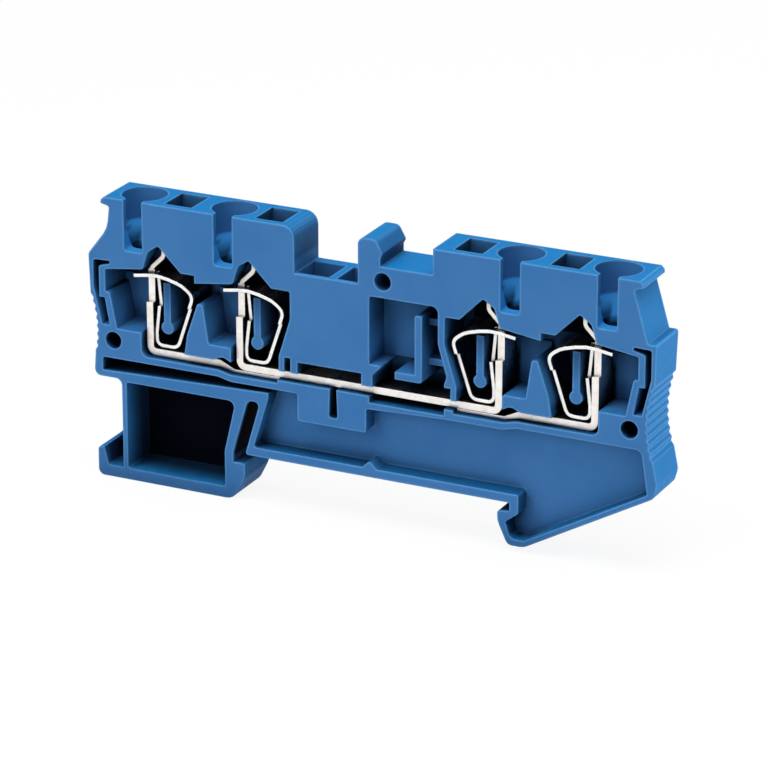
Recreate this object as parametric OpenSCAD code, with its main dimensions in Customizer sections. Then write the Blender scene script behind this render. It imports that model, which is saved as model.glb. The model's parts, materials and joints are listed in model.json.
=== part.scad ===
// Feed-through terminal block with four spring clamps, for a 35 mm mounting rail.
// X runs along the block, Y through its thickness and Z up. The open side faces -Y.
// The origin lies on the rail seat, in the middle of the block.

/* [Block] */
// Thickness of the block along the rail
block_w = 6.2; // [5.8:0.1:8]
// Height of the top deck above the rail seat
deck_z = 29; // [28:0.5:34]
// Height of the bridge saddle above the rail seat
saddle_z = 23.4; // [22.6:0.1:25]
// Height of the ledge beside the middle post
ledge_z = 25.9; // [25.7:0.1:27]
// Thickness of the closed back wall
back_wall = 1; // [0.6:0.1:1.4]
// Thickness of ribs and thin walls
rib_t = 0.8; // [0.6:0.05:1]
// Rounding of small moulded corners
corner_r = 0.3; // [0.1:0.05:0.4]
// Rounding of large moulded corners
round_r = 0.8; // [0.5:0.1:1.2]
// Diameter of the peg holes
hole_d = 2.1; // [1.6:0.1:2.2]
// Depth of the peg holes
hole_depth = 3; // [1.5:0.1:4]
// Distance of the outer peg holes from the ends
hole_in = 3.1; // [2.9:0.1:3.3]
// Height of the outer peg holes
hole_z = 11.4; // [11:0.1:11.6]
// Height of the middle peg hole
mid_hole_z = 24.1; // [23.8:0.1:24.3]
// Length of the pegs on the closed side
peg_l = 1.2; // [0.6:0.1:2]
// Clearance of a peg in a neighbour's hole
peg_gap = 0.1; // [0.05:0.05:0.3]

/* [Ends] */
// Distance from the outer contact face to the end of the block
end_l = 7.2; // [6.8:0.1:9]
// Height of the end shoulders
shoulder_z = 21.8; // [21.6:0.1:23]
// Depth of the neck under the marker lip
neck_in = 2.9; // [2.4:0.1:3.2]
// Overhang of the marker lip
lip_reach = 1.1; // [0.5:0.1:1.5]
// Height of the marker lip
lip_h = 0.8; // [0.5:0.1:1.2]
// Slope under the marker lip
lip_drop = 0.25; // [0.1:0.05:0.4]
// Width of the level shoulder at the right end
shoulder_w = 1.1; // [0.6:0.1:1.6]
// Height of the sloping shoulder at the left end
slope_h = 3.4; // [2.5:0.1:4]
// Height of the middle of the grip waist
waist_z = 12.4; // [12:0.1:13]
// Depth of the grip waist
waist_in = 0.9; // [0.4:0.1:1.1]
// Height of the grip waist
waist_h = 10; // [8:0.5:11]
// Pitch of the grip ridges
ridge_pitch = 1; // [0.8:0.05:1.2]
// Depth of the grip ridges
ridge_depth = 0.22; // [0.1:0.02:0.3]
// Height of the underside of the left end
base_z = 6.7; // [6.4:0.1:7.2]
// Height of the lower corner of the right end
chin_z = 3.6; // [3:0.1:4]

/* [Rail foot] */
// Width of the rail
rail_w = 35; // [34:0.5:36]
// Thickness of the rail flange
flange_t = 1; // [0.8:0.1:1.5]
// Play between the rail and the foot
rail_gap = 0.2; // [0.1:0.05:0.4]
// Offset of the rail from the middle of the block
rail_shift = 0.6; // [0:0.1:1]
// Reach of the hooks under the rail flanges
hook_reach = 1.3; // [0.8:0.1:1.6]
// Height of the nose of the rigid foot's hook
hook_h = 1.2; // [0.8:0.1:1.5]
// Depth of the spring foot under the rail seat
foot_drop = 5.9; // [5.4:0.1:7]
// Depth of the rigid foot under the rail seat
heel_drop = 5.2; // [4.8:0.1:6]
// Width of the tip of the rigid foot
heel_w = 4; // [3.4:0.1:5]
// Thickness of the web over the rail
web_t = 1.1; // [0.8:0.1:1.4]
// Width of the mark over the middle of the rail
mark_w = 1.8; // [1:0.1:2.4]
// Height of the mark over the middle of the rail
mark_h = 0.9; // [0.5:0.1:1.2]
// Width of the slot that frees the spring foot
slot_w = 1.6; // [1.3:0.1:1.8]
// Height of the slot that frees the spring foot
slot_z = 6.8; // [6:0.1:6.9]
// Sideways lean of the slot over its height
slot_lean = 2; // [1.5:0.1:2.2]
// Thickness of the walls beside the slot
slot_wall = 1.1; // [0.8:0.1:1.4]
// Thickness of the top of the wall between the slot and the spring foot's hollow
spring_wall = 1.6; // [1.2:0.1:1.8]
// Thickness of the thin outer wall that lets the foot bend
flex_t = 0.6; // [0.5:0.05:0.9]
// Distance of the thin wall from the left end
flex_in = 4.1; // [3.5:0.1:4.5]
// Thickness of the sole of the spring foot
sole_t = 1.4; // [1:0.1:1.8]
// Rise of the floor of the groove over the spring foot
groove_rise = 0.7; // [0.2:0.1:0.8]
// Distance of the toe from the left end
toe_in = 0.7; // [0.4:0.1:1]
// Depth of the toe's tip under the rail seat
toe_drop = 2.6; // [2.2:0.1:3]
// Height of the toe's root above the rail seat
toe_rise = 1.4; // [1:0.1:2]
// Depth of the recess in the open side
recess_d = 2.2; // [1.5:0.1:3]

/* [Current bar] */
// Distance of the inner contact faces from the middle
clamp_x = 16.9; // [16.6:0.1:19]
// Pitch of the clamps on each side
clamp_pitch = 11.8; // [11.6:0.1:13]
// Height of the underside of the current bar
bar_z = 10.1; // [9.9:0.05:10.4]
// Thickness of the current bar
bar_t = 0.85; // [0.7:0.05:0.95]
// Width of the current bar
bar_w = 4.2; // [3.8:0.1:4.4]
// Radius inside the bends of the current bar
bend_r = 0.35; // [0.2:0.05:0.5]
// Thickness of the lapped ends of the outer strips
lap_t = 0.35; // [0.25:0.05:0.5]
// Length of the laps under the inner bar
lap_l = 5.6; // [4:0.1:6]
// Length of the joggles before the laps
joggle_l = 1.8; // [1.2:0.1:2.2]
// Height at which the contact risers narrow
tongue_z = 16.6; // [16:0.1:17.5]
// Width of the narrow tops of the contact risers
tongue_w = 3; // [2.4:0.1:3.2]
// Height at which the risers bend into their hooks
hook_z = 20.7; // [20.5:0.1:20.9]
// Thickness of the riser hooks
hook_t = 0.5; // [0.4:0.05:0.7]
// Sideways reach of the riser hooks
hook_l = 1.6; // [1.4:0.1:1.7]
// Height of the upright tips of the riser hooks
hook_tip = 0.9; // [0.6:0.1:1]

/* [Clamp springs] */
// Thickness of the spring strip
spring_t = 0.4; // [0.3:0.02:0.45]
// Width of the spring strip
spring_w = 4.4; // [4.2:0.1:4.8]
// Width of the lower loop of the spring
loop_w = 3.6; // [3:0.1:4]
// Width of the spring's fixed end
fixed_w = 2.6; // [2:0.1:3]
// Width of the window in the spring's top leg
eye_w = 3.4; // [3.3:0.1:3.6]
// Length of the spring's top leg past the contact face
lead_l = 1.6; // [1.2:0.1:2]
// Reach of the spring's bulge from the contact face
bulge_x = 6.4; // [6.2:0.1:6.6]
// Height of the spring's bulge
bulge_z = 18.15; // [17.9:0.05:18.4]
// Distance of the spring's shoulder from the contact face
spring_knee_x = 4.8; // [4.6:0.1:5]
// Height of the spring's shoulder
spring_knee_z = 19.3; // [19.1:0.05:19.5]
// Radius of the spring's bends
spring_r = 1; // [0.8:0.05:1.2]
// Height of the crown of the top leg
crown_z = 20.15; // [20.05:0.05:20.3]
// Fall of the top leg from its crown to its tip
crown_fall = 0.5; // [0.3:0.05:0.7]
// Width of the bottom of the spring loop
loop_l = 2.75; // [2.5:0.05:2.9]
// Play of the metal pieces against each other and the housing
fit_gap = 0.1; // [0.05:0.01:0.15]

/* [Wire and tool entries] */
// Diameter of the wire funnels
funnel_d = 5.4; // [4.8:0.1:5.6]
// Distance of the funnels from the contact faces
funnel_x = 1.2; // [1:0.1:1.5]
// Height at which the funnels start to narrow
funnel_z = 25.2; // [24.5:0.1:27]
// Diameter of the throats under the funnels
throat_d = 3.4; // [2.8:0.1:3.6]
// Height of the top of the throats
throat_z = 22.8; // [22.4:0.1:23.5]
// Width of the sight slots in front of the funnels
sight_w = 2.4; // [1.8:0.1:2.8]
// Length of the tool pockets along the block
tool_l = 3.5; // [3:0.1:3.6]
// Width of the tool pockets through the block
tool_w = 4.3; // [3.8:0.1:4.4]
// Distance of the tool pockets from the contact faces
tool_x = 4.35; // [4.2:0.05:4.5]

/* [Chambers] */
// Height of the roof over the wire spaces
roof_z = 20.85; // [20.75:0.05:21]
// Fall of that roof towards the ends
roof_fall = 0.7; // [0.4:0.1:0.9]
// Height of the roof over the springs
spring_roof_z = 21.1; // [21:0.1:21.4]
// Height of the notches for the riser hooks
peak_z = 24; // [23.7:0.1:24.3]
// Distance of the notches from the contact faces
peak_x = 2.1; // [2:0.05:2.3]
// Fall of the notches towards the wires
peak_fall = 0.9; // [0.6:0.1:1.1]
// Distance of the lower ends of the notches from the contact faces
notch_x = 0.7; // [0.5:0.05:0.9]
// Height of the floors of the wire spaces
floor_z = 12.95; // [12.6:0.05:13.1]
// Room between the springs and the walls beside them
spring_room = 0.45; // [0.4:0.05:0.8]
// Room between the left inner spring and the wall beside it
left_room = 1; // [0.6:0.05:1.1]
// Room between the contact risers and the floors
riser_room = 0.35; // [0.2:0.05:0.5]
// Room between the current bar and the ribs over it
bar_room = 0.2; // [0.1:0.05:0.3]
// Thickness of the wall under the current bar
sill_t = 0.85; // [0.7:0.05:1.1]
// Lean of the walls inside the inner springs
wall_lean = 1.5; // [1:0.1:1.8]
// Height at which those walls start to lean
wall_knee_z = 17.7; // [17:0.1:18.2]
// Height of the wedges between the springs
wedge_z = 17.7; // [16.8:0.1:18.2]
// Width of the feet of the wedges
wedge_w = 3.5; // [3.2:0.1:3.8]
// Width of the tips of the wedges
wedge_tip = 0.7; // [0.5:0.1:0.9]
// Width of the stems inside the springs
stem_w = 0.9; // [0.6:0.1:1.1]
// Diameter of the round feet of the stems
bulb_d = 1.6; // [1.2:0.1:1.8]
// Distance of the stems from the contact faces
stem_x = 2.75; // [2.65:0.05:2.85]
// Height of the round feet of the stems
bulb_z = 13.8; // [13.5:0.1:14.1]
// Height of the tops of the stems
stem_top_z = 19.3; // [18.5:0.1:19.5]
// Depth of the fronts of the stems in the open side
stem_in = 0.8; // [0.4:0.1:1.6]
// Height of the stepped backs of the wire spaces
wire_step_z = 18.4; // [17.8:0.1:18.8]
// Thickness of the steps at the backs of the wire spaces
wire_step = 0.4; // [0.2:0.05:0.6]
// Distance of the end ribs' feet from the ends
end_rib_in = 3.6; // [3.4:0.05:3.7]
// Height of the knees of the end ribs
end_rib_z = 16.9; // [16.4:0.1:17.4]
// Sideways jog of the end ribs
rib_jog = 0.55; // [0.4:0.05:0.7]
// Thickness of the slanting parts of the end ribs
slant_t = 0.65; // [0.5:0.05:0.8]
// Height of the jogs above the knees of the end ribs
rib_jog_h = 0.5; // [0.3:0.1:0.8]
// Width of the grooves beside the end ribs
groove_w = 0.75; // [0.5:0.05:0.9]
// Length of the tops of those grooves
groove_top_l = 2.2; // [1.6:0.1:2.6]
// Width of the lower ends of those grooves
groove_foot_w = 1; // [0.8:0.1:1.2]
// Thickness of the walls outside those grooves
skin_t = 0.6; // [0.5:0.05:0.7]

/* [Middle] */
// Distance of the middle post from the middle of the block
post_x = 0.6; // [0.4:0.1:0.8]
// Width of the middle post
post_w = 2.8; // [2.4:0.1:3]
// Height of the post's latching nose
nose_h = 1.6; // [1.2:0.1:2]
// Overhang of the post's latching nose
nose_l = 0.3; // [0.1:0.05:0.4]
// Run of the slopes over and under that nose
nose_slope = 0.6; // [0.4:0.05:0.8]
// Distance of the left tower from the inner contact face
left_tower_in = 8; // [7.8:0.1:8.2]
// Distance of the right tower from the inner contact face
right_tower_in = 8.3; // [8.1:0.1:8.6]
// Rounding of the inner corner of the left tower
tower_r = 1.5; // [0.8:0.1:2]
// Length of the wide bridge shaft
shaft_a = 4.1; // [3.6:0.1:4.3]
// Length of the narrow bridge shaft
shaft_b = 2.8; // [2.4:0.1:2.9]
// Width of the bridge shafts through the block
shaft_w = 4.4; // [4:0.1:4.6]
// Thickness of the wall in front of the bridge shafts
shaft_wall = 0.5; // [0.4:0.05:0.7]
// Height of the lower ends of the bridge shafts
shaft_z = 12.6; // [12.3:0.1:12.8]
// Height of the top of the window
window_z = 22.15; // [21.6:0.05:22.4]
// Height of the sill of the window
window_low_z = 13.9; // [13.6:0.1:14.2]
// Depth of the wide half of the window
window_d = 4; // [3:0.1:4.6]
// Thickness of the wall between the window and the spring beside it
divider_t = 0.8; // [0.6:0.1:1.2]
// Width of the narrow half of the window
window_side_w = 2; // [1.6:0.1:2.4]
// Height of the upright rib in the window
window_rib_z = 20.7; // [20:0.1:21]
// Width of the upright rib in the window
window_rib_w = 0.9; // [0.7:0.1:1.2]
// Length of that rib's foot
window_foot_l = 3.4; // [3:0.1:3.8]
// Width of the rest under the current bar
rest_w = 9.2; // [8.6:0.1:9.6]
// Height of the lower end of that rest
rest_z = 5.4; // [5:0.1:6]
// Width of the slit in that rest
slit_w = 1.1; // [0.8:0.1:1.3]
// Width of the top of that slit
slit_top_w = 0.75; // [0.5:0.05:0.8]
// Depth of the hollow under the current bar
hollow_d = 0.9; // [0.6:0.1:1]

/* [Hidden] */
$fn = 48;

blue = [0.24, 0.46, 0.7];
tinned = [0.82, 0.81, 0.79];
steel = [0.88, 0.88, 0.87];

// Distance by which cuts run past the faces that they open
over = 1;
// Degrees between the points of a rounded corner
arc_step = 18;
// Largest share of a side that a rounded corner takes up
corner_share = 0.48;
// Rounding of the widest moulded corners
large_r = 2 * round_r;

front_y = -block_w / 2;
back_y = block_w / 2;
cavity_y = back_y - back_wall;
mid_y = cavity_y - fit_gap - spring_w / 2;

inner_x = clamp_x;
outer_x = clamp_x + clamp_pitch;
end_x = outer_x + end_l;
neck_x = end_x - neck_in;
lip_x = neck_x + lip_reach;

rail_left = rail_shift - rail_w / 2;
rail_right = rail_shift + rail_w / 2;
hook_top_z = -flange_t - rail_gap;
flex_x = -end_x + flex_in;
toe_x = -end_x + toe_in;
sole_z = -foot_drop + sole_t;

bar_top = bar_z + bar_t;
channel_z = bar_z - fit_gap;
lap_top = bar_z - fit_gap / 2;
lap_z = lap_top - lap_t;
lap_floor_z = lap_z - fit_gap;
joggle_x = inner_x + riser_room;
lap_x = inner_x - lap_l;
rib_low_z = bar_top + bar_room;
sill_z = channel_z - sill_t;
lap_sill_z = lap_floor_z - sill_t;
groove_z = base_z + rib_t;

wall_x = inner_x - bulge_x - spring_room;
left_wall_x = inner_x - bulge_x - left_room;
step_x = outer_x - bulge_x - spring_t;
wedge_x = step_x - wedge_tip;
chamber_end_x = end_x - skin_t - groove_w - rib_t;
window_end_x = wall_x - divider_t;
window_rib_x = window_end_x - window_side_w - window_rib_w;
rest_x = post_x - rest_w;
left_tower_x = -inner_x + left_tower_in;
right_tower_x = inner_x - right_tower_in;

// Plane geometry

// The first two coordinates of a point
function flat(p) = [p[0], p[1]];

// A vector of length one along v
function unit(v) = v / norm(v);

// A list from its last point to its first
function reversed(points) = [for (i = [len(points) - 1:-1:0]) points[i]];

// The arc that rounds corner b between a and c, limited by the shorter side
function corner_arc(a, b, c, r) =
  let (
    u = unit(a - b),
    v = unit(c - b),
    half = acos(max(-1, min(1, u * v))) / 2,
    side = min(norm(a - b), norm(c - b)),
    cut = min(r / tan(half), side * corner_share),
    centre = b + unit(u + v) * cut / cos(half),
    first = b + u * cut - centre,
    last = b + v * cut - centre,
    turn = atan2(first[0] * last[1] - first[1] * last[0], first * last),
    steps = max(2, ceil(abs(turn) / arc_step)),
    start = atan2(first[1], first[0]),
    radius = norm(first)
  )
  [for (i = [0:steps]) let (t = start + turn * i / steps) centre + radius * [cos(t), sin(t)]];

// An outline of [x, z, radius] points with its corners rounded
function rounded(points, closed = true) =
  let (n = len(points))
  [for (i = [0:n - 1])
    let (p = points[i], is_end = !closed && (i == 0 || i == n - 1))
    each is_end || len(p) < 3
      ? [flat(p)]
      : corner_arc(flat(points[(i + n - 1) % n]), flat(p), flat(points[(i + 1) % n]), p[2])];

// The direction across a path at its point i, lengthened at a bend
function across(path, i) =
  let (
    before = unit(path[max(i, 1)] - path[max(i, 1) - 1]),
    after = unit(path[min(i + 1, len(path) - 1)] - path[min(i, len(path) - 2)]),
    middle = unit(before + after)
  )
  [-middle[1], middle[0]] / (middle * before);

// A path moved sideways by d
function beside(path, d) = [for (i = [0:len(path) - 1]) path[i] + across(path, i) * d];

// The outline of a strip of thickness t bent along a path of [x, z, radius] points
function strip(points, t) =
  let (path = rounded(points, false))
  concat(beside(path, t / 2), reversed(beside(path, -t / 2)));

// Points on the right of the block, or mirrored to the left where side is -1
function on_side(side, points) =
  [for (p = points) len(p) < 3 ? [side * p[0], p[1]] : [side * p[0], p[1], p[2]]];

// An outline drawn in X and Z, made solid from y0 to y1
module slab(y0, y1) {
  translate([0, y1, 0])
    rotate([90, 0, 0])
      linear_extrude(y1 - y0)
        children();
}

module rounded_polygon(points) {
  polygon(rounded(points));
}

// A rectangle from x0 to x1 and from z0 to z1
module span(x0, x1, z0, z1) {
  translate([x0, z0])
    square([x1 - x0, z1 - z0]);
}

// Outline of the housing

// The end of the block at height z, drawn in at the grip waist
function waist_x(z) = end_x - waist_in * max(0, 1 - pow((z - waist_z) / (waist_h / 2), 2));

// Grip ridges from the top of the waist downwards
function ridges(count) =
  [for (i = [0:2 * count])
    let (z = waist_z + waist_h / 2 - (i + 1) * ridge_pitch / 2)
    [waist_x(z) - (i % 2) * ridge_depth, z]];

right_ridges = floor(waist_h / ridge_pitch) - 1;
left_ridges = right_ridges - 2;

// Marker lip, from the deck down to the neck
lip = [
  [lip_x - lip_h / 2, deck_z],
  [lip_x, deck_z - lip_h / 2, corner_r],
  [lip_x, deck_z - lip_h],
  [neck_x, deck_z - lip_h - lip_drop, corner_r]
];

// Right end, from the deck down to the chin
right_end = concat(
  lip,
  [[end_x - shoulder_w, shoulder_z], [end_x, shoulder_z, corner_r]],
  ridges(right_ridges),
  [[end_x + rib_t / 2, (base_z + chin_z) / 2, large_r], [end_x, chin_z, round_r]]
);

// Left end, from the deck down to the base
left_end = on_side(-1, concat(
  lip,
  [[neck_x + corner_r, shoulder_z + slope_h, slope_h], [end_x, shoulder_z, round_r]],
  ridges(left_ridges),
  [[end_x - waist_in / 2, base_z, round_r]]
));

// Rigid foot and its hook, from the sloping underside to the rail seat
heel = [
  [rail_right + heel_w / 2, -heel_drop, heel_w / 2],
  [rail_right, -heel_drop, round_r],
  [rail_right - hook_reach, hook_top_z - hook_h, heel_w],
  [rail_right - hook_reach, hook_top_z, corner_r],
  [rail_right + rail_gap, hook_top_z + rail_gap],
  [rail_right + rail_gap, 0]
];

// Slanting slot, open towards the rail
slot_x = rail_left + slot_w + slot_lean - rail_gap;
slot = [
  [slot_x - slot_lean, 0, corner_r],
  [slot_x, slot_z, slot_w / 2],
  [slot_x - slot_w, slot_z, slot_w / 2],
  [rail_left - rail_gap, 0],
  [rail_left - rail_gap, hook_top_z]
];

// Spring foot, from its hook round to the root of its toe
foot = [
  [rail_left + hook_reach, hook_top_z, corner_r],
  [rail_left + hook_reach, -foot_drop / 2, large_r],
  [rail_left - rail_gap, -foot_drop, large_r],
  [toe_x, -foot_drop, round_r],
  [toe_x, -toe_drop, corner_r],
  [flex_x, toe_rise],
  [flex_x, base_z, round_r]
];

// Saddle, post and ledge, from the left tower to the right tower
post_left = post_x - post_w / 2;
post_right = post_x + post_w / 2;
middle = [
  [left_tower_x, deck_z, tower_r],
  [left_tower_x, saddle_z],
  [post_left, saddle_z],
  [post_left, deck_z, lip_h],
  [post_right - nose_slope, deck_z, round_r],
  [post_right + nose_l, deck_z - nose_h, corner_r],
  [post_right, deck_z - nose_h - nose_slope],
  [post_right, ledge_z],
  [right_tower_x, ledge_z],
  [right_tower_x, deck_z]
];

module outline() {
  rounded_polygon(concat(middle, right_end, heel, slot, foot, reversed(left_end)));
}

// Hollows of the open side

// Roof over one clamp whose contact face is at x, from the spring to the wire
function roof(x) = [
  [x - peak_x - (peak_z - spring_roof_z), spring_roof_z],
  [x - peak_x, peak_z, corner_r],
  [x - notch_x, peak_z - peak_fall, round_r],
  [x, roof_z, corner_r]
];

// Clamp chambers of one side, from the middle wall at x to the end
function chambers(x) = concat(
  [
    [x + wall_lean, channel_z],
    [x + wall_lean, floor_z, round_r],
    [x, wall_knee_z, large_r],
    [x, spring_roof_z, corner_r]
  ],
  roof(inner_x),
  [[step_x, roof_z - roof_fall], [step_x, spring_roof_z]],
  roof(outer_x),
  [
    [chamber_end_x, roof_z - roof_fall, corner_r],
    [chamber_end_x, end_rib_z + rib_jog_h],
    [chamber_end_x - rib_jog, end_rib_z + rib_jog_h, round_r],
    [end_x - end_rib_in, floor_z],
    [outer_x + riser_room, floor_z],
    [outer_x + riser_room, channel_z, bar_t]
  ]
);

// Outline of the clamp chambers of one side
module chamber_outline(side) {
  rounded_polygon(on_side(side, chambers(side < 0 ? left_wall_x : wall_x)));
}

// Wedge between the two springs of one side, with the floor of the inner wire space
wedge = [
  [inner_x + riser_room, floor_z, corner_r],
  [wedge_x + wedge_tip - wedge_w / 2, floor_z, corner_r],
  [wedge_x - wedge_tip / 2, wedge_z, corner_r],
  [wedge_x + wedge_tip / 2, wedge_z, corner_r],
  [wedge_x + wedge_w / 2, floor_z + wedge_tip, large_r],
  [wedge_x + wedge_w / 2 + rib_t / 2, rib_low_z],
  [wedge_x - wedge_w / 2, rib_low_z],
  [wedge_x - wedge_w / 2 - bar_t, rib_low_z + bar_t / 2, corner_r],
  [joggle_x + bar_t, rib_low_z + bar_t / 2, corner_r],
  [joggle_x, rib_low_z]
];

// Back of a wire space from x0 to x1
function wire_back(x0, x1) =
  [[x0, floor_z], [x1, floor_z], [x1, wire_step_z], [x0, wire_step_z]];
wire_backs = [
  wire_back(inner_x + riser_room, wedge_x),
  wire_back(outer_x + riser_room, end_x)
];

// Groove between the end rib and the end face
groove_x = end_x - skin_t;
groove_foot_x = end_x - end_rib_in + slant_t + corner_r;
end_groove = [
  [groove_x - groove_top_l, roof_z + groove_w / 2],
  [groove_x, roof_z + corner_r, corner_r],
  [groove_x, end_rib_z + rib_t],
  [groove_foot_x + groove_foot_w, floor_z + corner_r],
  [groove_foot_x, floor_z + corner_r],
  [chamber_end_x - rib_jog + slant_t, end_rib_z - corner_r],
  [groove_x - groove_w, end_rib_z - corner_r],
  [groove_x - groove_w, roof_z - rib_t / 2, corner_r],
  [groove_x - groove_top_l, roof_z]
];

// Stem with a round foot inside one spring
module stem(x) {
  span(x - stem_w / 2, x + stem_w / 2, bulb_z, stem_top_z);
  translate([x, bulb_z])
    circle(d = bulb_d);
}

module side_hollows(side) {
  difference() {
    chamber_outline(side);
    rounded_polygon(on_side(side, wedge));
  }
  rounded_polygon(on_side(side, end_groove));
  polygon(on_side(side, [
    [joggle_x + joggle_l, channel_z],
    [joggle_x, lap_floor_z],
    [lap_x - fit_gap, lap_floor_z],
    [lap_x - fit_gap, bar_top],
    [joggle_x + joggle_l, bar_top]
  ]));
}

// Passage of the current bar between the two sides, with the hollows over and under it
module bar_passage() {
  low_x = wall_x + wall_lean;
  span(-low_x - over, low_x + over, channel_z, rib_low_z);
  span(rest_x, post_left + rib_t / 2, channel_z, shaft_z);
  span(-left_wall_x - rib_t, -left_wall_x, channel_z, floor_z);
  span(post_x, wall_x, bar_z - hollow_d, bar_z);
  span(post_x + rib_t / 2, wall_x + rib_t, channel_z, shaft_z);
}

// Window beside the bridge shafts, and the L-shaped rib in it
window = [
  [post_x, window_low_z],
  [post_x, window_z, corner_r],
  [window_end_x, window_z, round_r],
  [window_end_x, wall_knee_z, large_r],
  [window_end_x + wall_lean - rib_t / 2, window_low_z, corner_r],
  [window_end_x + rib_t, floor_z],
  [window_end_x + rib_t, bar_top],
  [post_x + rib_t / 2, bar_top],
  [post_x + rib_t / 2, shaft_z],
  [post_x + rib_t * 2, window_low_z]
];
window_rib = [
  [window_rib_x, window_rib_z, corner_r],
  [window_rib_x + window_rib_w, window_rib_z],
  [window_rib_x + window_rib_w, shaft_z, corner_r],
  [window_rib_x + window_rib_w - window_foot_l, shaft_z],
  [window_rib_x + window_rib_w - window_foot_l, shaft_z + window_rib_w],
  [window_rib_x, shaft_z + window_rib_w]
];

// Long groove over the spring foot
long_groove = [
  [-end_x + 2 * rib_t, groove_z],
  [-end_x + 2 * rib_t, sill_z, corner_r],
  [-joggle_x - joggle_l, sill_z],
  [-joggle_x, lap_sill_z],
  [slot_x + slot_wall * 2, lap_sill_z],
  [slot_x + slot_wall * 2, groove_z + groove_rise]
];

// Wide recess over the rail and in the rigid foot
recess = [
  [slot_x + slot_wall, groove_z, round_r],
  [slot_x + slot_wall, lap_sill_z],
  [rest_x, lap_sill_z, corner_r],
  [rest_x, rest_z, corner_r],
  [post_x - rib_t / 2, rest_z, corner_r],
  [post_x - rib_t / 2, bar_z - hollow_d - sill_t, corner_r],
  [wall_x, lap_sill_z],
  [joggle_x, lap_sill_z],
  [joggle_x + joggle_l, sill_z],
  [end_x - 2 * rib_t, sill_z, round_r],
  [end_x - rib_t, chin_z + corner_r, corner_r],
  [rail_right + heel_w / 2, rib_t - heel_drop, round_r],
  [rail_right + corner_r, rib_t - heel_drop, round_r],
  [rail_right - corner_r, hook_top_z - hook_h, corner_r],
  [rail_right + rail_gap + slot_wall, hook_top_z, corner_r],
  [rail_right + rail_gap + slot_wall, web_t, corner_r],
  [rail_shift + mark_w / 2, web_t],
  [rail_shift, web_t + mark_h, corner_r],
  [rail_shift - mark_w / 2, web_t],
  [slot_x + slot_wall - slot_lean, web_t, corner_r]
];

// Hollow of the spring foot, and the pocket in its toe
foot_hollow = [
  [flex_x + flex_t, base_z - corner_r, corner_r],
  [slot_x - slot_w - spring_wall, base_z - corner_r, round_r],
  [rail_left - rail_gap - slot_wall, 0, round_r],
  [rail_left - rail_gap - slot_wall, sole_z, corner_r],
  [flex_x + flex_t, sole_z, corner_r]
];
toe_pocket = [
  [flex_x, toe_rise + over],
  [toe_x - over, toe_rise + over],
  [toe_x - over, corner_r - toe_drop],
  [toe_x + rib_t, corner_r - toe_drop],
  [toe_x + sole_t, sole_z, corner_r],
  [flex_x, sole_z]
];

module hollows() {
  for (side = [-1, 1]) side_hollows(side);
  bar_passage();
  difference() {
    rounded_polygon(window);
    rounded_polygon(window_rib);
  }
  rounded_polygon(long_groove);
  rounded_polygon(recess);
  rounded_polygon(foot_hollow);
  rounded_polygon(toe_pocket);
}

// Floors of the shallow hollows, and the stems that stand in the deep ones
module raised_floors() {
  for (side = [-1, 1]) {
    slab(front_y + stem_in, cavity_y)
      for (x = [inner_x, outer_x]) stem(side * (x - stem_x));
    slab(cavity_y - wire_step, cavity_y)
      intersection() {
        chamber_outline(side);
        for (back = wire_backs) polygon(on_side(side, back));
      }
  }
  slab(front_y + recess_d, cavity_y)
    rounded_polygon(recess);
  slab(front_y + window_d, cavity_y)
    span(post_x, window_rib_x, window_low_z, window_z);
  shelf_y = front_y + window_d / 2;
  for (z = [window_low_z + rib_t / 2, window_rib_z - rib_t * 2])
    slab(shelf_y, cavity_y)
      span(window_rib_x + window_rib_w, window_end_x + corner_r, z, z + rib_t);
}

// Entries from above

// Funnel for a wire, with its sight slot and its throat
module wire_entry(x) {
  translate([x, 0, funnel_z])
    cylinder(d = funnel_d, h = deck_z - funnel_z + over);
  translate([x, 0, throat_z])
    cylinder(d1 = throat_d, d2 = funnel_d, h = funnel_z - throat_z);
  translate([x, 0, roof_z - roof_fall])
    cylinder(d = throat_d, h = throat_z - roof_z + roof_fall + over);
  slab(front_y - over, 0)
    rounded_polygon([
      [x - sight_w / 2, deck_z + over],
      [x - sight_w / 2, throat_z, corner_r],
      [x + sight_w / 2, throat_z, corner_r],
      [x + sight_w / 2, deck_z + over]
    ]);
}

// A straight pocket from x0 to x1, from the deck down to height z
module pocket(x0, x1, y0, y1, z) {
  translate([x0, y0, z])
    cube([x1 - x0, y1 - y0, deck_z + over - z]);
}

module side_entries(side) {
  for (x = [inner_x, outer_x]) {
    wire_entry(side * (x + funnel_x));
    tool_mid = side * (x - tool_x);
    pocket(tool_mid - tool_l / 2, tool_mid + tool_l / 2, cavity_y - tool_w, cavity_y, spring_roof_z);
  }
}

module bridge_shafts() {
  y0 = front_y + shaft_wall;
  b_end = post_left - fit_gap;
  a_start = left_tower_x + fit_gap;
  pocket(a_start, a_start + shaft_a, y0, y0 + shaft_w, shaft_z);
  pocket(b_end - shaft_b, b_end, y0, y0 + shaft_w, shaft_z);
}

// Middles of the peg holes, as [x, z]
peg_places = [
  [-end_x + hole_in, hole_z],
  [end_x - hole_in, hole_z],
  [post_right + corner_r, mid_hole_z]
];

// A round peg or hole through the thickness, from y0 to y1
module cross_pin(place, d, y0, y1) {
  translate([place[0], y1, place[1]])
    rotate([90, 0, 0])
      cylinder(d = d, h = y1 - y0);
}

// Narrowing slit in the rest under the bar
module rest_slit() {
  x = rest_x + rest_w / 2;
  slab(front_y - over, cavity_y)
    rounded_polygon([
      [x - slit_top_w / 2, channel_z + over],
      [x - slit_w / 2, rest_z + slit_w, corner_r],
      [x + slit_w / 2, rest_z + slit_w, corner_r],
      [x + slit_top_w / 2, channel_z + over]
    ]);
}

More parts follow.
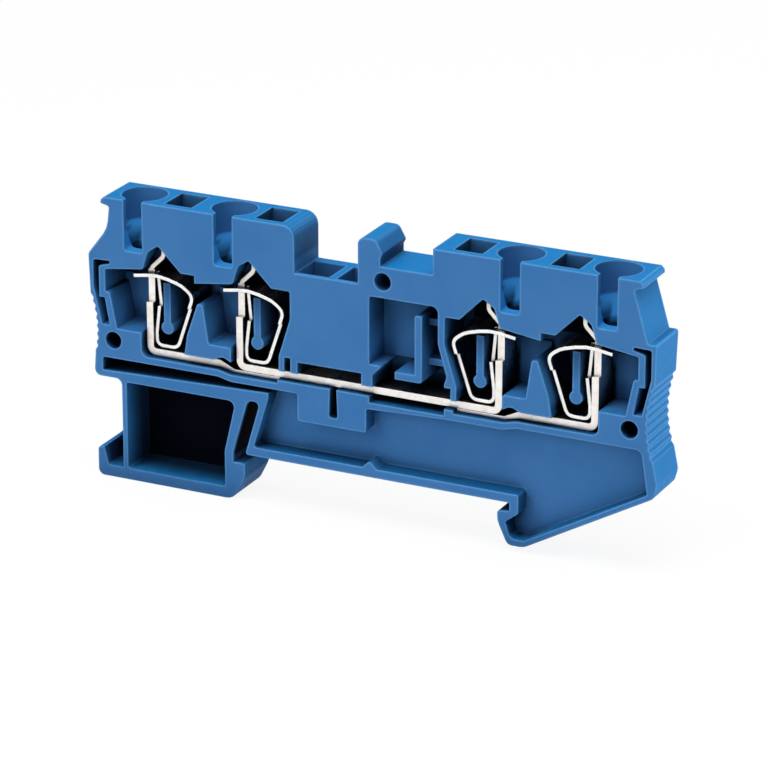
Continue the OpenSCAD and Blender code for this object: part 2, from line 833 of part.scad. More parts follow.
module housing() {
  color(blue) {
    difference() {
      union() {
        slab(cavity_y, back_y)
          outline();
        slab(front_y, cavity_y)
          difference() {
            outline();
            hollows();
          }
        raised_floors();
      }
      for (side = [-1, 1]) side_entries(side);
      bridge_shafts();
      rest_slit();
      for (place = peg_places) cross_pin(place, hole_d, front_y - over, front_y + hole_depth);
    }
    for (place = peg_places) cross_pin(place, hole_d - 2 * peg_gap, back_y, back_y + peg_l);
  }
}

// Current bar

// Thin hook on the riser with its contact face at x, from the tip down
function hook(x) =
  let (mid_x = x - bar_t / 2)
  strip([
    [mid_x - hook_l, hook_z + hook_l + hook_tip],
    [mid_x - hook_l, hook_z + hook_l, mid_bend_r],
    [mid_x, hook_z, mid_bend_r],
    [mid_x, spring_knee_z]
  ], hook_t);
mid_bend_r = bend_r + bar_t / 2;
riser_z = crown_z + spring_t;
foot_mid_z = bar_z + bar_t / 2;

// Narrows a riser to its tongue above tongue_z
module tongue_cuts(x) {
  for (y = [mid_y - bar_w / 2 - over, mid_y + tongue_w / 2])
    translate([x - bar_t - hook_l - over, y, tongue_z])
      cube([bar_t + hook_l + 2 * over, (bar_w - tongue_w) / 2 + over, deck_z]);
}

module bar_solid() {
  slab(mid_y - bar_w / 2, mid_y + bar_w / 2)
    children();
}

module current_bar() {
  color(tinned)
    difference() {
      half = [[inner_x - bar_t / 2, riser_z], [inner_x - bar_t / 2, foot_mid_z, mid_bend_r]];
      bar_solid() {
        polygon(strip(concat(on_side(-1, half), reversed(half)), bar_t));
        polygon(hook(inner_x));
        polygon(reversed(on_side(-1, hook(inner_x))));
      }
      for (side = [0, 1])
        mirror([side, 0, 0])
          tongue_cuts(inner_x);
    }
}

// Outer strip of the right side: a riser, a straight foot, a joggle and a thin lap
module outer_strip() {
  color(tinned)
    difference() {
      bar_solid() {
        polygon(hook(outer_x));
        polygon(strip([
          [outer_x - bar_t / 2, riser_z],
          [outer_x - bar_t / 2, foot_mid_z, mid_bend_r],
          [joggle_x + joggle_l, foot_mid_z]
        ], bar_t));
        polygon([
          [joggle_x + joggle_l, bar_top],
          [joggle_x + joggle_l, bar_z],
          [joggle_x, lap_z],
          [lap_x, lap_z],
          [lap_x, lap_top],
          [joggle_x - fit_gap, lap_top]
        ]);
      }
      tongue_cuts(outer_x);
    }
}

module left_strip() {
  mirror([1, 0, 0])
    outer_strip();
}

module right_strip() {
  outer_strip();
}

// Clamp springs

// Spring whose contact face is at x, on the right of the block
module spring(x) {
  bottom_z = rib_low_z + spring_t / 2;
  fixed_x = x - bar_t - fit_gap - spring_t / 2;
  knee_x = fixed_x - spring_t;
  knee_z = tongue_z - spring_t;
  loop = [
    [x + lead_l, crown_z - crown_fall],
    [x - lead_l, crown_z, bulge_x],
    [x - spring_knee_x, spring_knee_z, bulge_x / 2],
    [x - bulge_x + spring_t / 2, bulge_z, spring_r],
    [fixed_x - loop_l, bottom_z, spring_r],
    [fixed_x, bottom_z, spring_r],
    [fixed_x, floor_z],
    [knee_x, knee_z]
  ];
  tongue = [
    [knee_x, knee_z - spring_t / 2],
    [fixed_x, hook_z - spring_t]
  ];
  eye_x = fixed_x - spring_t - 2 * fit_gap;
  color(steel) {
    difference() {
      slab(mid_y - spring_w / 2, mid_y + spring_w / 2)
        polygon(strip(loop, spring_t));
      slab(mid_y - eye_w / 2, mid_y + eye_w / 2)
        span(eye_x, x + fit_gap, bulge_z, crown_z + spring_t);
      for (y = [mid_y - spring_w / 2 - over, mid_y + loop_w / 2])
        translate([x - bulge_x - over, y, bar_top])
          cube([bulge_x + over, (spring_w - loop_w) / 2 + over, tongue_z - bar_top]);
    }
    slab(mid_y - fixed_w / 2, mid_y + fixed_w / 2)
      polygon(strip(tongue, spring_t));
  }
}

module clamp_spring_1() {
  mirror([1, 0, 0])
    spring(outer_x);
}

module clamp_spring_2() {
  mirror([1, 0, 0])
    spring(inner_x);
}

module clamp_spring_3() {
  spring(inner_x);
}

module clamp_spring_4() {
  spring(outer_x);
}

housing();
current_bar();
left_strip();
right_strip();
clamp_spring_1();
clamp_spring_2();
clamp_spring_3();
clamp_spring_4();
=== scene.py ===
import json
import math

import bpy
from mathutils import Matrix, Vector


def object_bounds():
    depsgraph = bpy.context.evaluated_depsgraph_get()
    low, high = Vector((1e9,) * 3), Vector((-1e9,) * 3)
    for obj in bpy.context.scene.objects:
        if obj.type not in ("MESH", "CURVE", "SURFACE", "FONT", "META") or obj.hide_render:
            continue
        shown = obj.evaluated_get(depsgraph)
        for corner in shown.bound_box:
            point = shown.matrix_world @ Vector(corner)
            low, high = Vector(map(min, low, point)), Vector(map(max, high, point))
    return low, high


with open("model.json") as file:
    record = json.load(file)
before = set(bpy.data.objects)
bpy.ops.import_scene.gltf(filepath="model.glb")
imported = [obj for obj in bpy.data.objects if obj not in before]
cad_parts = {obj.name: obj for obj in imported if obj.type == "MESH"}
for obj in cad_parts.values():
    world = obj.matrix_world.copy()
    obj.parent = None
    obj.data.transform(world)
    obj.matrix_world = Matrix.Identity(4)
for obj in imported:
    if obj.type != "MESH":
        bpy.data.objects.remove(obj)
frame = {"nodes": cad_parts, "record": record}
cad_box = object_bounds()
record = frame["record"]

MM = 0.001
WHITE = (1, 1, 1, 1)

# Camera, in the part's own frame
CAMERA_AZIMUTH = 25.9
CAMERA_ELEVATION = 20.9
CAMERA_DISTANCE = 494 * MM
CAMERA_TARGET = Vector((0.99, 0, 10.48)) * MM
CAMERA_LENS = 201.6
CAMERA_NEAR = 0.01
CAMERA_FAR = 20

# Lamps around the camera's target: name, azimuth, elevation, distance, size and power
LAMPS = (
    ("overhead", 10, 78, 0.5, 0.4, 2.25),
    ("front_left", -30, 30, 0.6, 0.35, 0.93),
    ("rear", 170, 30, 0.6, 0.35, 0.7),
    ("right_end", 90, 0, 0.25, 0.03, 0.24),
)

# Strength of the fill light, at the left end and at the right end
FILL = (0.5, 0.22)
# The backdrop is white low down and grey higher up, so that bright metal has some contrast
BACKDROP_RISE = (0.12, 0.35)
BACKDROP = (1.0, 0.3)

FLOOR_HALF = 2.0
FLOOR_PALE = (0.86, 0.86, 0.86, 1)
FLOOR_CLOUD = (0.8428, 0.8428, 0.8428, 1)
FLOOR_CLOUD_SCALE = 3
# Share of plain white in the floor as it is seen. The rest is lit, and keeps the shadow
FLOOR_WHITE = 0.9

# Blues of the housing. The broad sides carry a painted sheen, paler and greyer than the drawn faces
# across them, and the tops are painted deeper still, without sheen
BLUE = (0.04, 0.157, 0.385, 1)
BLUE_CLOUD = (0.048, 0.168, 0.4, 1)
BLUE_DRAWN = (0.018, 0.166, 0.42, 1)
BLUE_TOP = (0.004, 0.16, 0.42, 1)
# Painted highlight on the edges
BLUE_EDGE_HIGHLIGHT = (0.15, 0.42, 0.8, 1)
# Painted light on the funnels' cones
BLUE_CONE = (0.05, 0.36, 0.8, 1)
# Painted shade in the deep hollows
BLUE_HOLLOW_SHADE = (0.0012, 0.002, 0.006, 1)

# Surface of the housing
PLASTIC_IOR = 1.53
PLASTIC_SPECULAR = 0.05
PLASTIC_ROUGH = (0.46, 0.58)
PLASTIC_EDGE_R = 0.36 * MM
CLOUD_SCALE = 160
GLOSS_SCALE = 900
GRAIN_SCALE = 5200
GRAIN_DEPTH = 0.05 * MM
GRAIN_STRENGTH = 0.12

# Bright strip metals: two tones of the drawn lines, specks, lines per metre on X, Y and Z, and roughness
TINNED_COPPER = {
    "bright": (0.95, 0.93, 0.9, 1),
    "dull": (0.88, 0.82, 0.77, 1),
    "speck": (0.7, 0.6, 0.53, 1),
    "line_scale": (900, 900, 900),
    "rough": (0.26, 0.42),
}
SPRING_STEEL = {
    "bright": (0.96, 0.96, 0.95, 1),
    "dull": (0.87, 0.87, 0.86, 1),
    "speck": (0.72, 0.7, 0.68, 1),
    "line_scale": (1100, 250, 1100),
    "rough": (0.18, 0.3),
}
# Painted shade and dark reflection where the metal is closed in by the housing
METAL_SHADE = (0.02, 0.02, 0.024, 1)
METAL_EDGE_R = 0.09 * MM
METAL_REACH = 4 * MM
SPECK_SCALE = 2600
SPECK_SHARE = 0.55
LINE_DEPTH = 0.03 * MM
LINE_STRENGTH = 0.06

# Octaves of noise, and the spans of its values that are put to use
NOISE_DETAIL = 3.0
FINE_NOISE_DETAIL = 2.0
NOISE_MIDDLE = (0.35, 0.65)
NOISE_MOST = (0.3, 0.7)
NOISE_PEAKS = (0.58, 0.72)

# Rays sent out to find edges, hollows and contacts, and how far the housing's hollows are felt
EDGE_SAMPLES = 4
HOLLOW_SAMPLES = 4
CONTACT_SAMPLES = 3
HOLLOW_REACH = 12 * MM

# In the masks below, a pair tells where a mask is 0 and where it is full.
# A pair that is used with a SOFT margin is a span instead, and the mask is full inside it.
# AIR stands for the share of open surroundings, FACING for a part of the face's normal,
# and OFF for the distance along the block from the nearest wire funnel's axis.

# Edges, which get a painted highlight: cosine between the rounded normal and the flat one
EDGE_COSINE = (0.997, 0.88)
EDGE_AIR = (0.4, 0.75)
EDGE_HIGHLIGHT = 0.9

# Drawn faces, which stand across the broad sides, and the tops among them
DRAWN_FACING = (0.8, 0.4)
DRAWN_AIR = (0.35, 0.65)
TOP_FACING = (0.6, 0.9)

# Painted shade and dark reflection on strip metal: faces that don't look out of the open side, and
# places that are closed in
INWARD_FACING = (-0.7, -0.2)
INWARD_AIR = (0.8, 0.45)
INWARD_SHADE = 0.92
CLOSED_AIR = (0.6, 0.25)
CLOSED_SHADE = 0.95

# Planes of the block's open and closed sides. The pegs alone stand out past the closed side
FRONT_Y = cad_box[0].y
BACK_Y = -FRONT_Y

# The wire funnels stand in two pairs, one on each side of the middle
wire_entries = [mount for mount in record["mounts"] if mount["name"].endswith("wire_entry")]
funnel_places = [abs(mount["pos_m"][0]) for mount in wire_entries]
PAIR_X = (max(funnel_places) + min(funnel_places)) / 2
PAIR_HALF = (max(funnel_places) - min(funnel_places)) / 2
FUNNEL_R = wire_entries[0]["dims"]["r_mm"] * MM
FUNNEL_FLOOR = wire_entries[0]["pos_m"][2] - wire_entries[0]["dims"]["length_mm"] * MM

# Places under the funnels' floors, and the throats and bridge shafts that let light in there
COVER_Z = (FUNNEL_FLOOR - 0.6 * MM, FUNNEL_FLOOR - 2 * MM)
THROAT_OFF = (1.5 * MM, 1.2 * MM)
THROAT_Z = (FUNNEL_FLOOR - 3.2 * MM, FUNNEL_FLOOR - 2.6 * MM)
SHAFTS_X = (-9.2 * MM, 0.2 * MM)
SHAFTS_SOFT = 0.4 * MM
SHAFTS_Z = (16 * MM, 18 * MM)
SHAFTS_LIGHT = 0.7

# Clamp chambers
CHAMBERS_X = (11.4 * MM, 33.2 * MM)
CHAMBERS_SOFT = 0.3 * MM
CHAMBERS_BACK_Y = (BACK_Y - 0.5 * MM, BACK_Y - 0.8 * MM)
CHAMBERS_LIP_Y = (FRONT_Y + 0.4 * MM, FRONT_Y + 0.7 * MM)
CHAMBERS_AIR = (0.22, 0.08)
# Low and high places count as more closed in than they are
LOW_Z = (13 * MM, 12 * MM)
LOW_SHADE = 0.16
HIGH_Z = (15.5 * MM, 19 * MM)
HIGH_SHADE = 0.12
# Dark that grows towards the chambers' tops
UPPER_Z = (15.5 * MM, 19.3 * MM)
UPPER_SHADE = 0.6

# Notches at the chambers' tops
NOTCH_Z = (FUNNEL_FLOOR - 5.4 * MM, FUNNEL_FLOOR - 1 * MM)
NOTCH_SOFT = 0.6 * MM
NOTCH_Y = (FRONT_Y + 0.4 * MM, FRONT_Y + 2.5 * MM)
NOTCH_OFF = (FUNNEL_R - 0.5 * MM, FUNNEL_R - 0.3 * MM)
BELOW_THROAT_Z = (FUNNEL_FLOOR - 2.8 * MM, FUNNEL_FLOOR - 3.4 * MM)
BELOW_THROAT_SHADE = 0.6

# Contact of the metal with the plastic: the share of open surroundings that another piece takes
CONTACT_REACH = 0.8 * MM
CONTACT_LOSS = (0.06, 0.3)
CONTACT_Z = (4 * MM, 5 * MM)
CONTACT_SHADE = 0.92

# Undersides of the feet
UNDERSIDE_FACING = (-0.2, -0.6)
UNDERSIDE_Z = (7 * MM, 6 * MM)

# Tool pockets and tower walls, beside the funnels
BESIDE_OFF = (FUNNEL_R, FUNNEL_R + 0.2 * MM)
POCKET_Z = (FUNNEL_FLOOR - 1.2 * MM, FUNNEL_FLOOR - 0.6 * MM)
POCKET_AIR = (0.5, 0.3)
POCKET_SHADE = 0.5
TOWER_WALL_FACING = (0.7, 0.95)
TOWER_WALL_Z = (FUNNEL_FLOOR - 0.6 * MM, FUNNEL_FLOOR)
TOWER_WALL_AIR = (0.95, 0.45)
TOWER_WALL_SHADE = 0.7

# Cones at the funnels' floors
CONE_OFF = (FUNNEL_R, FUNNEL_R - 0.2 * MM)
CONE_Z = (FUNNEL_FLOOR - 3 * MM, FUNNEL_FLOOR - 0.2 * MM)
CONE_SOFT = 0.3 * MM
CONE_AIR = (0.6, 0.25)
CONE_LIGHT = 0.8

# Hollow of the spring foot, and how far its slanting wall stands past the stated opening
openings = record["physics"]["openings"]
foot_low, foot_high = next(opening["box_m"] for opening in openings if opening["name"] == "foot_hollow")
FOOT_SLANT = 1.4 * MM
FOOT_X = (foot_low[0], foot_high[0] + FOOT_SLANT)
FOOT_Z = (foot_low[2], foot_high[2])
FOOT_SOFT = 0.4 * MM
FOOT_LIP_Y = (FRONT_Y + 0.7 * MM, FRONT_Y + 3.7 * MM)
FOOT_BACK_Y = (foot_high[1] + 0.6 * MM, foot_high[1] + 0.3 * MM)

# Slanting slot beside the spring foot: its left edge at the origin's height, width, height and lean
SLOT_LEFT = -17.1 * MM
SLOT_W = 1.6 * MM
SLOT_H = 6.8 * MM
SLOT_LEAN = 2 * MM
SLOT_X = (SLOT_LEFT, SLOT_LEFT + SLOT_W)
SLOT_SIDE_SOFT = 0.15 * MM
SLOT_Z = (-0.4 * MM, SLOT_H)
SLOT_END_SOFT = 0.8 * MM
SLOT_DEPTH_Y = (BACK_Y - 0.15 * MM, BACK_Y - 0.6 * MM)


# Building blocks of the materials

def feed(tree, socket, value):
    """Links an input to another node's output, or sets it to a constant."""
    if isinstance(value, bpy.types.NodeSocket):
        tree.links.new(value, socket)
    else:
        socket.default_value = value


def put(tree, kind, inputs=None, **values):
    """Adds a node and feeds its inputs."""
    made = tree.nodes.new(kind)
    for key, value in values.items():
        setattr(made, key, value)
    for key, value in (inputs or {}).items():
        feed(tree, made.inputs[key], value)
    return made


def blank(name):
    """A new material with no nodes."""
    material = bpy.data.materials.new(name)
    material.use_nodes = True
    material.node_tree.nodes.clear()
    return material, material.node_tree


def output(tree, shader):
    put(tree, "ShaderNodeOutputMaterial", {"Surface": shader})


def free_math(tree, operation, *values):
    """Result of an operation, which may lie outside 0 and 1."""
    return put(tree, "ShaderNodeMath", dict(enumerate(values)), operation=operation).outputs[0]


def absolute(tree, value):
    return free_math(tree, "ABSOLUTE", value)


def chain(tree, operation, first, others):
    """Applies an operation to a value and each of the others in turn, and stays between 0 and 1."""
    for other in others:
        made = put(tree, "ShaderNodeMath", {0: first, 1: other}, operation=operation, use_clamp=True)
        first = made.outputs[0]
    return first


def product(tree, first, *others):
    return chain(tree, "MULTIPLY", first, others)


def largest(tree, first, *others):
    return chain(tree, "MAXIMUM", first, others)


def less(tree, first, *others):
    return chain(tree, "SUBTRACT", first, others)


def remap(tree, value, span, to):
    """Carries a span of values over to another, and holds the ends beyond it."""
    inputs = {"Value": value, "From Min": span[0], "From Max": span[1], "To Min": to[0], "To Max": to[1]}
    return put(tree, "ShaderNodeMapRange", inputs, clamp=True).outputs["Result"]


def rise(tree, value, span, full=1.0):
    """0 at the first end of a span of values, and full at the second."""
    return remap(tree, value, span, (0.0, full))


def within(tree, value, span, soft):
    """1 inside a span and 0 outside it, with soft ends."""
    low, high = span
    return product(tree, rise(tree, value, (low - soft, low)), rise(tree, value, (high + soft, high)))


def mix(tree, data_type, suffix, factor, a, b):
    """Blends two values of one type by a factor."""
    made = put(tree, "ShaderNodeMix", data_type=data_type)
    wanted = {"Factor_Float": factor, f"A_{suffix}": a, f"B_{suffix}": b}
    for socket in made.inputs:
        if socket.identifier in wanted:
            feed(tree, socket, wanted[socket.identifier])
    return next(socket for socket in made.outputs if socket.identifier == f"Result_{suffix}")


def mix_colour(tree, factor, a, b):
    return mix(tree, "RGBA", "Color", factor, a, b)


def mix_number(tree, factor, a, b):
    return mix(tree, "FLOAT", "Float", factor, a, b)


def noise(tree, coords, scale=1.0, detail=NOISE_DETAIL):
    inputs = {"Vector": coords, "Scale": scale, "Detail": detail}
    return put(tree, "ShaderNodeTexNoise", inputs).outputs["Fac"]


def object_coords(tree):
    return put(tree, "ShaderNodeTexCoord").outputs["Object"]


def face_normal(tree):
    return put(tree, "ShaderNodeNewGeometry").outputs["Normal"]


def parts_of(tree, vector):
    """The X, Y and Z of a vector."""
    made = put(tree, "ShaderNodeSeparateXYZ", {0: vector}).outputs
    return made["X"], made["Y"], made["Z"]


def round_normal(tree, radius):
    """The normal, as it is with the edges rounded to a radius."""
    return put(tree, "ShaderNodeBevel", {"Radius": radius}, samples=EDGE_SAMPLES).outputs["Normal"]


def edge_mask(tree, rounded):
    """1 where a rounded normal leaves the face's own, and 0 on a flat face."""
    dot = put(tree, "ShaderNodeVectorMath", {0: rounded, 1: face_normal(tree)}, operation="DOT_PRODUCT")
    return rise(tree, dot.outputs["Value"], EDGE_COSINE)


def openness(tree, distance, samples=HOLLOW_SAMPLES, only_local=False):
    """1 on open faces, falling to 0 in deep hollows."""
    inputs = {"Distance": distance, "Color": WHITE}
    made = put(tree, "ShaderNodeAmbientOcclusion", inputs, samples=samples, only_local=only_local)
    return made.outputs["AO"]


def bumped(tree, normal, height, strength, distance):
    inputs = {"Normal": normal, "Height": height, "Strength": strength, "Distance": distance}
    return put(tree, "ShaderNodeBump", inputs).outputs["Normal"]


# Housing

class Spot:
    """What the housing's masks ask about a point: where it is, which way it faces and how open it is."""

    def __init__(self, tree):
        self.coords = object_coords(tree)
        self.x, self.y, self.z = parts_of(tree, self.coords)
        self.face_x, self.face_y, self.face_z = parts_of(tree, face_normal(tree))
        self.air = openness(tree, HOLLOW_REACH)
        # Distance along the block from the nearest wire funnel's axis
        from_pair = free_math(tree, "SUBTRACT", absolute(tree, self.x), PAIR_X)
        self.off = absolute(tree, free_math(tree, "SUBTRACT", absolute(tree, from_pair), PAIR_HALF))


def under_cover(tree, at):
    """1 under the funnels' floors, and less where the throats and the bridge shafts let light in."""
    throats = product(tree, rise(tree, at.off, THROAT_OFF), rise(tree, at.z, THROAT_Z))
    along_shafts = within(tree, at.x, SHAFTS_X, SHAFTS_SOFT)
    shafts = product(tree, along_shafts, rise(tree, at.z, SHAFTS_Z, SHAFTS_LIGHT))
    return less(tree, rise(tree, at.z, COVER_Z), throats, shafts)


def inside_chambers(tree, at):
    """1 along the clamp chambers, in front of the back wall."""
    along = within(tree, absolute(tree, at.x), CHAMBERS_X, CHAMBERS_SOFT)
    return product(tree, along, rise(tree, at.y, CHAMBERS_BACK_Y))


def chamber_shade(tree, at):
    """Dark of the clamp chambers, deeper towards their tops, and of the grooves below them."""
    covered = under_cover(tree, at)
    low = rise(tree, at.z, LOW_Z, LOW_SHADE)
    high = rise(tree, at.z, HIGH_Z, HIGH_SHADE)
    deep = product(tree, covered, rise(tree, less(tree, at.air, low, high), CHAMBERS_AIR))
    upper = product(
        tree,
        inside_chambers(tree, at),
        rise(tree, at.z, UPPER_Z, UPPER_SHADE),
        rise(tree, at.y, CHAMBERS_LIP_Y),
        covered,
    )
    return largest(tree, deep, upper)


def notch_shade(tree, at):
    """Dark behind the hooks, in the notches at the chambers' tops."""
    beside_throat = rise(tree, at.off, NOTCH_OFF)
    below_throat = rise(tree, at.z, BELOW_THROAT_Z, BELOW_THROAT_SHADE)
    return product(
        tree,
        inside_chambers(tree, at),
        within(tree, at.z, NOTCH_Z, NOTCH_SOFT),
        largest(tree, beside_throat, below_throat),
        rise(tree, at.y, NOTCH_Y),
    )


def contact_shade(tree, at):
    """Painted shade in lines where the metal lies against the plastic, and none where the feet meet a
    floor.
    """
    own = openness(tree, CONTACT_REACH, CONTACT_SAMPLES, only_local=True)
    both = openness(tree, CONTACT_REACH, CONTACT_SAMPLES)
    touching = rise(tree, less(tree, own, both), CONTACT_LOSS)
    return product(tree, touching, rise(tree, at.z, CONTACT_Z, CONTACT_SHADE))


def underside(tree, at):
    """1 on the faces of the feet that look down."""
    return product(tree, rise(tree, at.face_z, UNDERSIDE_FACING), rise(tree, at.z, UNDERSIDE_Z))


def pocket_shade(tree, at):
    """Dark of the tool pockets beside the funnels."""
    closed_in = rise(tree, at.air, POCKET_AIR, POCKET_SHADE)
    return product(tree, rise(tree, at.off, BESIDE_OFF), rise(tree, at.z, POCKET_Z), closed_in)


def tower_wall_shade(tree, at):
    """Dark of the towers' walls that face the right end, outside the funnels."""
    return product(
        tree,
        rise(tree, at.face_x, TOWER_WALL_FACING),
        rise(tree, at.air, TOWER_WALL_AIR, TOWER_WALL_SHADE),
        rise(tree, at.z, TOWER_WALL_Z),
        rise(tree, at.off, BESIDE_OFF),
    )


def foot_shade(tree, at):
    """Dark of the hollow in the spring foot, growing with depth up to its back."""
    return product(
        tree,
        within(tree, at.x, FOOT_X, FOOT_SOFT),
        within(tree, at.z, FOOT_Z, FOOT_SOFT),
        rise(tree, at.y, FOOT_LIP_Y),
        rise(tree, at.y, FOOT_BACK_Y),
    )


def slot_shade(tree, at):
    """Dark of the slanting slot beside the spring foot."""
    upright_x = free_math(tree, "MULTIPLY_ADD", at.z, -SLOT_LEAN / SLOT_H, at.x)
    return product(
        tree,
        within(tree, upright_x, SLOT_X, SLOT_SIDE_SOFT),
        within(tree, at.z, SLOT_Z, SLOT_END_SOFT),
        rise(tree, absolute(tree, at.y), SLOT_DEPTH_Y),
    )


def hollow_shade(tree, at):
    """Painted shade: 0 in the open and 1 deep in a hollow."""
    chambers = largest(tree, chamber_shade(tree, at), notch_shade(tree, at), contact_shade(tree, at))
    return largest(
        tree,
        less(tree, chambers, underside(tree, at)),
        pocket_shade(tree, at),
        tower_wall_shade(tree, at),
        foot_shade(tree, at),
        slot_shade(tree, at),
    )


def cone_light(tree, at):
    """Light that the funnels' cones catch from above."""
    return product(
        tree,
        rise(tree, at.off, CONE_OFF),
        within(tree, at.z, CONE_Z, CONE_SOFT),
        rise(tree, at.air, CONE_AIR, CONE_LIGHT),
    )


def plastic_colour(tree, at, edge, dark):
    """Blue with faint clouds and a painted sheen on the broad sides, deeper on drawn faces, with painted
    highlights on edges and cones and painted shade, nearly black, in hollows.
    """
    cloud = rise(tree, noise(tree, at.coords, CLOUD_SCALE), NOISE_MIDDLE)
    across = rise(tree, absolute(tree, at.face_y), DRAWN_FACING)
    drawn = product(tree, across, rise(tree, at.air, DRAWN_AIR))
    top = product(tree, drawn, rise(tree, at.face_z, TOP_FACING))
    # Painted highlight on open, convex edges
    edge_highlight = product(tree, edge, rise(tree, at.air, EDGE_AIR, EDGE_HIGHLIGHT))
    colour = mix_colour(tree, cloud, BLUE, BLUE_CLOUD)
    # Drawn faces and tops go without the broad sides' painted sheen
    colour = mix_colour(tree, drawn, colour, BLUE_DRAWN)
    colour = mix_colour(tree, top, colour, BLUE_TOP)
    colour = mix_colour(tree, edge_highlight, colour, BLUE_EDGE_HIGHLIGHT)
    colour = mix_colour(tree, cone_light(tree, at), colour, BLUE_CONE)
    return mix_colour(tree, dark, colour, BLUE_HOLLOW_SHADE)


def polyamide():
    """Moulded blue plastic with a fine grain."""
    material, tree = blank("polyamide")
    at = Spot(tree)
    normal = round_normal(tree, PLASTIC_EDGE_R)
    # Painted shade of the hollows, which are also made rougher
    dark = hollow_shade(tree, at)
    grain = noise(tree, at.coords, GRAIN_SCALE, FINE_NOISE_DETAIL)
    rough = remap(tree, noise(tree, at.coords, GLOSS_SCALE), NOISE_MOST, PLASTIC_ROUGH)
    shader = put(tree, "ShaderNodeBsdfPrincipled", {
        "Base Color": plastic_colour(tree, at, edge_mask(tree, normal), dark),
        "Roughness": largest(tree, rough, dark),
        "IOR": PLASTIC_IOR,
        "Specular IOR Level": PLASTIC_SPECULAR,
        "Normal": bumped(tree, normal, grain, GRAIN_STRENGTH, GRAIN_DEPTH),
    })
    output(tree, shader.outputs["BSDF"])
    return material


# Strip metals

def metal_shade(tree):
    """Painted shade and dark reflection: 1 where the metal is closed in, sooner on faces that don't look
    out of the open side.
    """
    air = openness(tree, METAL_REACH)
    face_y = parts_of(tree, face_normal(tree))[1]
    inward = product(tree, rise(tree, face_y, INWARD_FACING), rise(tree, air, INWARD_AIR, INWARD_SHADE))
    return largest(tree, inward, rise(tree, air, CLOSED_AIR, CLOSED_SHADE))


def strip_metal(name, bright, dull, speck, line_scale, rough):
    """Bright strip metal with drawn lines, dull specks and painted shade where it is closed in."""
    material, tree = blank(name)
    coords = object_coords(tree)
    stretched = put(tree, "ShaderNodeMapping", {"Vector": coords, "Scale": line_scale}).outputs["Vector"]
    lines = noise(tree, stretched)
    specks = rise(tree, noise(tree, coords, SPECK_SCALE, FINE_NOISE_DETAIL), NOISE_PEAKS, SPECK_SHARE)
    colour = mix_colour(tree, rise(tree, lines, NOISE_MIDDLE), bright, dull)
    colour = mix_colour(tree, specks, colour, speck)
    colour = mix_colour(tree, metal_shade(tree), colour, METAL_SHADE)
    shader = put(tree, "ShaderNodeBsdfPrincipled", {
        "Base Color": colour,
        "Metallic": 1.0,
        "Roughness": remap(tree, lines, NOISE_MOST, rough),
        "Normal": bumped(tree, round_normal(tree, METAL_EDGE_R), lines, LINE_STRENGTH, LINE_DEPTH),
    })
    output(tree, shader.outputs["BSDF"])
    return material


finishes = {
    "polyamide": polyamide(),
    "tinned_copper": strip_metal("tinned_copper", **TINNED_COPPER),
    "spring_steel": strip_metal("spring_steel", **SPRING_STEEL),
}

for part in record["subparts"]:
    node_materials = frame["nodes"][part["node"]].data.materials
    node_materials.clear()
    node_materials.append(finishes[part["material_slot"]])


# Floor, light and camera

def seen_directly(tree):
    """1 for what the camera sees straight, in a reflection or through glass."""
    path = put(tree, "ShaderNodeLightPath").outputs
    return largest(tree, path["Is Camera Ray"], path["Is Glossy Ray"], path["Is Transmission Ray"])


def pale_floor():
    """Pale floor that looks nearly white and still takes a shadow."""
    material, tree = blank("pale_floor")
    cloud = noise(tree, object_coords(tree), FLOOR_CLOUD_SCALE)
    tone = mix_colour(tree, cloud, FLOOR_PALE, FLOOR_CLOUD)
    lit = put(tree, "ShaderNodeBsdfDiffuse", {"Color": tone}).outputs[0]
    white = put(tree, "ShaderNodeEmission", {"Color": WHITE, "Strength": 1.0}).outputs[0]
    share = product(tree, seen_directly(tree), FLOOR_WHITE)
    output(tree, put(tree, "ShaderNodeMixShader", {0: share, 1: lit, 2: white}).outputs[0])
    return material


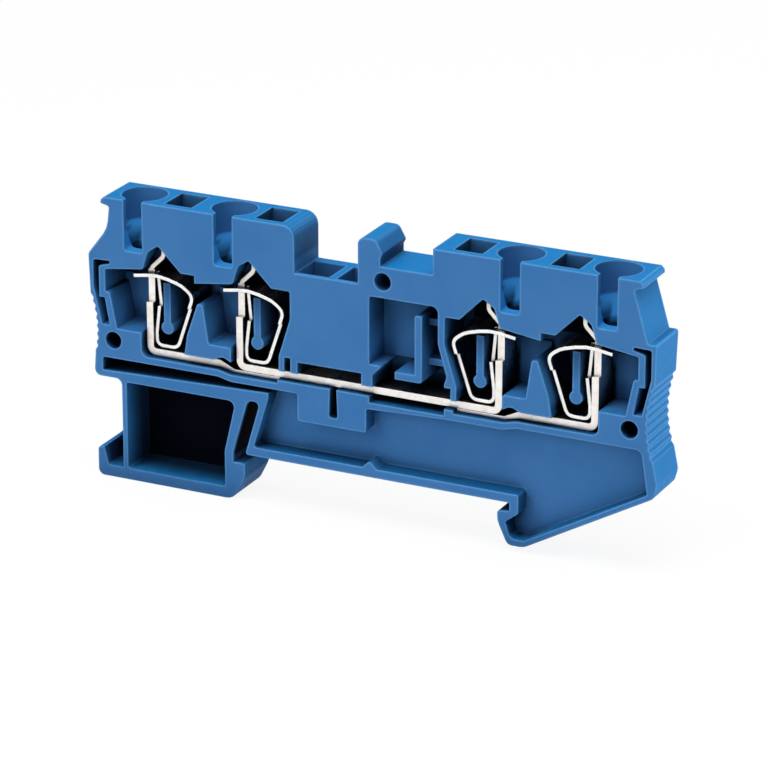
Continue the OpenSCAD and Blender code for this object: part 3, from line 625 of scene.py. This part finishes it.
def lay_floor():
    """Square floor under the lowest point of the part."""
    ends = ((-1, -1), (1, -1), (1, 1), (-1, 1))
    corners = [(x * FLOOR_HALF, y * FLOOR_HALF, cad_box[0].z) for x, y in ends]
    mesh = bpy.data.meshes.new("floor")
    mesh.from_pydata(corners, [], [(0, 1, 2, 3)])
    mesh.materials.append(pale_floor())
    floor = bpy.data.objects.new("floor", mesh)
    bpy.context.scene.collection.objects.link(floor)


def studio_world():
    """White surroundings that give soft fill light, more of it from the left."""
    world = bpy.data.worlds.new("studio")
    world.use_nodes = True
    tree = world.node_tree
    tree.nodes.clear()
    across, _, height = parts_of(tree, put(tree, "ShaderNodeTexCoord").outputs["Generated"])
    fill = remap(tree, across, (-1.0, 1.0), FILL)
    backdrop = remap(tree, height, BACKDROP_RISE, BACKDROP)
    strength = mix_number(tree, seen_directly(tree), fill, backdrop)
    back = put(tree, "ShaderNodeBackground", {"Color": WHITE, "Strength": strength})
    put(tree, "ShaderNodeOutputWorld", {"Surface": back.outputs[0]})
    bpy.context.scene.world = world


def direction(azimuth, elevation):
    """Unit vector from the object towards a place, with azimuth 0 at -Y and 90 at +X."""
    turn = math.radians(azimuth)
    tilt = math.radians(elevation)
    return Vector((math.sin(turn) * math.cos(tilt), -math.cos(turn) * math.cos(tilt), math.sin(tilt)))


def stand(data, azimuth, elevation, distance):
    """Places a lamp or camera around the target, looking at it."""
    placed = bpy.data.objects.new(data.name, data)
    outward = direction(azimuth, elevation)
    placed.location = CAMERA_TARGET + outward * distance
    placed.rotation_euler = (-outward).to_track_quat("-Z", "Y").to_euler()
    bpy.context.scene.collection.objects.link(placed)
    return placed


lay_floor()
studio_world()

for name, azimuth, elevation, distance, size, power in LAMPS:
    lamp = bpy.data.lights.new(name, "AREA")
    lamp.shape = "DISK"
    lamp.size = size
    lamp.energy = power
    stand(lamp, azimuth, elevation, distance)

camera = bpy.data.cameras.new("camera")
camera.lens = CAMERA_LENS
camera.clip_start = CAMERA_NEAR
camera.clip_end = CAMERA_FAR
bpy.context.scene.camera = stand(camera, CAMERA_AZIMUTH, CAMERA_ELEVATION, CAMERA_DISTANCE)
bpy.context.scene.view_settings.view_transform = "Standard"
